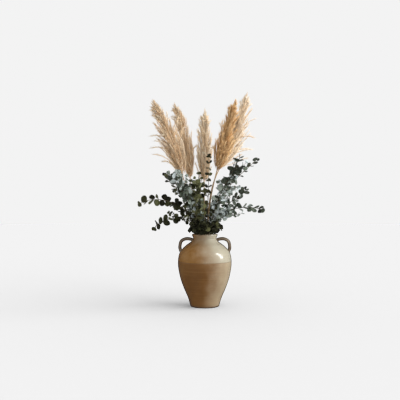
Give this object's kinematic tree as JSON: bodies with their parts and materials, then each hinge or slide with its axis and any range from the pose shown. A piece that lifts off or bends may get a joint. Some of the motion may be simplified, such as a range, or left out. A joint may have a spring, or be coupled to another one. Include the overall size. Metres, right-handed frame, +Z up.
{
  "type": "flower vase",
  "caption": "Stoneware amphora vase with loop handles at its sides, holding dried pampas plumes and eucalyptus stems that lift out of a foam column.",
  "frame": {"origin": "centre of the flat underside of the vase foot", "axes": "+Z up, +X towards the right handle, -Y towards the front"},
  "size_m": [0.4931, 0.2911, 0.914],
  "materials": {
    "glazed_stoneware": "satin",
    "handle_stoneware": "satin",
    "dry_foam": "matte",
    "pampas_cane": "satin",
    "pampas_plume": "matte",
    "eucalyptus_olive": "matte",
    "eucalyptus_silver": "matte"
  },
  "bodies": {
    "vase": {"vase_body": "glazed_stoneware", "handle_left": "handle_stoneware", "handle_right": "handle_stoneware"},
    "foam": {"foam_column": "dry_foam"},
    "pampas_left_front": {"pampas_left_front_cane": "pampas_cane", "pampas_left_front_plume": "pampas_plume"},
    "pampas_left_back": {"pampas_left_back_cane": "pampas_cane", "pampas_left_back_plume": "pampas_plume"},
    "pampas_centre": {"pampas_centre_cane": "pampas_cane", "pampas_centre_plume": "pampas_plume"},
    "pampas_right_front": {"pampas_right_front_cane": "pampas_cane", "pampas_right_front_plume": "pampas_plume"},
    "pampas_right_back": {"pampas_right_back_cane": "pampas_cane", "pampas_right_back_plume": "pampas_plume"},
    "eucalyptus_right_middle": {"eucalyptus_right_middle": "eucalyptus_silver"},
    "eucalyptus_right_wispy": {"eucalyptus_right_wispy": "eucalyptus_silver"},
    "eucalyptus_back_right": {"eucalyptus_back_right": "eucalyptus_silver"},
    "eucalyptus_back_centre": {"eucalyptus_back_centre": "eucalyptus_olive"},
    "eucalyptus_back_left": {"eucalyptus_back_left": "eucalyptus_olive"},
    "eucalyptus_left_tall": {"eucalyptus_left_tall": "eucalyptus_olive"},
    "eucalyptus_left_low": {"eucalyptus_left_low": "eucalyptus_olive"},
    "eucalyptus_left_arching": {"eucalyptus_left_arching": "eucalyptus_olive"},
    "eucalyptus_left_fan": {"eucalyptus_left_fan": "eucalyptus_silver"},
    "eucalyptus_left_upright": {"eucalyptus_left_upright": "eucalyptus_olive"},
    "sprig_front_left": {"sprig_front_left": "eucalyptus_olive"},
    "sprig_front_centre": {"sprig_front_centre": "eucalyptus_olive"},
    "eucalyptus_centre_thin": {"eucalyptus_centre_thin": "eucalyptus_olive"},
    "sprig_front_right": {"sprig_front_right": "eucalyptus_olive"},
    "eucalyptus_right_tall": {"eucalyptus_right_tall": "eucalyptus_silver"},
    "eucalyptus_right_low": {"eucalyptus_right_low": "eucalyptus_olive"}
  },
  "joints": [
    {"name": "foam_lift", "type": "slide", "parent": "vase", "child": "foam", "axis": [0, 0, 1], "range_m": [0, 0.3]},
    {"name": "pampas_left_front_lift", "type": "slide", "parent": "foam", "child": "pampas_left_front", "axis": [-0.0241, -0.0102, 0.9997], "range_m": [0, 0.08]},
    {"name": "pampas_left_back_lift", "type": "slide", "parent": "foam", "child": "pampas_left_back", "axis": [-0.022, 0.0143, 0.9997], "range_m": [0, 0.08]},
    {"name": "pampas_centre_lift", "type": "slide", "parent": "foam", "child": "pampas_centre", "axis": [-0.003, 0.0172, 0.9998], "range_m": [0, 0.08]},
    {"name": "pampas_right_front_lift", "type": "slide", "parent": "foam", "child": "pampas_right_front", "axis": [0.0206, -0.0161, 0.9997], "range_m": [0, 0.08]},
    {"name": "pampas_right_back_lift", "type": "slide", "parent": "foam", "child": "pampas_right_back", "axis": [0.0206, 0.0161, 0.9997], "range_m": [0, 0.08]},
    {"name": "eucalyptus_right_middle_lift", "type": "slide", "parent": "foam", "child": "eucalyptus_right_middle", "axis": [0.0949, 0.0133, 0.9954], "range_m": [0, 0.055]},
    {"name": "eucalyptus_right_wispy_lift", "type": "slide", "parent": "foam", "child": "eucalyptus_right_wispy", "axis": [0.0795, 0.0536, 0.9954], "range_m": [0, 0.055]},
    {"name": "eucalyptus_back_right_lift", "type": "slide", "parent": "foam", "child": "eucalyptus_back_right", "axis": [0.045, 0.0846, 0.9954], "range_m": [0, 0.055]},
    {"name": "eucalyptus_back_centre_lift", "type": "slide", "parent": "foam", "child": "eucalyptus_back_centre", "axis": [0, 0.0958, 0.9954], "range_m": [0, 0.055]},
    {"name": "eucalyptus_back_left_lift", "type": "slide", "parent": "foam", "child": "eucalyptus_back_left", "axis": [-0.045, 0.0846, 0.9954], "range_m": [0, 0.055]},
    {"name": "eucalyptus_left_tall_lift", "type": "slide", "parent": "foam", "child": "eucalyptus_left_tall", "axis": [-0.0795, 0.0536, 0.9954], "range_m": [0, 0.055]},
    {"name": "eucalyptus_left_low_lift", "type": "slide", "parent": "foam", "child": "eucalyptus_left_low", "axis": [-0.093, 0.0232, 0.9954], "range_m": [0, 0.055]},
    {"name": "eucalyptus_left_arching_lift", "type": "slide", "parent": "foam", "child": "eucalyptus_left_arching", "axis": [-0.0934, -0.0216, 0.9954], "range_m": [0, 0.055]},
    {"name": "eucalyptus_left_fan_lift", "type": "slide", "parent": "foam", "child": "eucalyptus_left_fan", "axis": [-0.0775, -0.0563, 0.9954], "range_m": [0, 0.055]},
    {"name": "eucalyptus_left_upright_lift", "type": "slide", "parent": "foam", "child": "eucalyptus_left_upright", "axis": [-0.0296, -0.0912, 0.9954], "range_m": [0, 0.055]},
    {"name": "sprig_front_left_lift", "type": "slide", "parent": "foam", "child": "sprig_front_left", "axis": [-0.0536, -0.0795, 0.9954], "range_m": [0, 0.055]},
    {"name": "sprig_front_centre_lift", "type": "slide", "parent": "foam", "child": "sprig_front_centre", "axis": [-0.0017, -0.0958, 0.9954], "range_m": [0, 0.055]},
    {"name": "eucalyptus_centre_thin_lift", "type": "slide", "parent": "foam", "child": "eucalyptus_centre_thin", "axis": [0.0264, -0.0921, 0.9954], "range_m": [0, 0.055]},
    {"name": "sprig_front_right_lift", "type": "slide", "parent": "foam", "child": "sprig_front_right", "axis": [0.0522, -0.0804, 0.9954], "range_m": [0, 0.055]},
    {"name": "eucalyptus_right_tall_lift", "type": "slide", "parent": "foam", "child": "eucalyptus_right_tall", "axis": [0.0734, -0.0616, 0.9954], "range_m": [0, 0.055]},
    {"name": "eucalyptus_right_low_lift", "type": "slide", "parent": "foam", "child": "eucalyptus_right_low", "axis": [0.0917, -0.028, 0.9954], "range_m": [0, 0.055]}
  ]
}
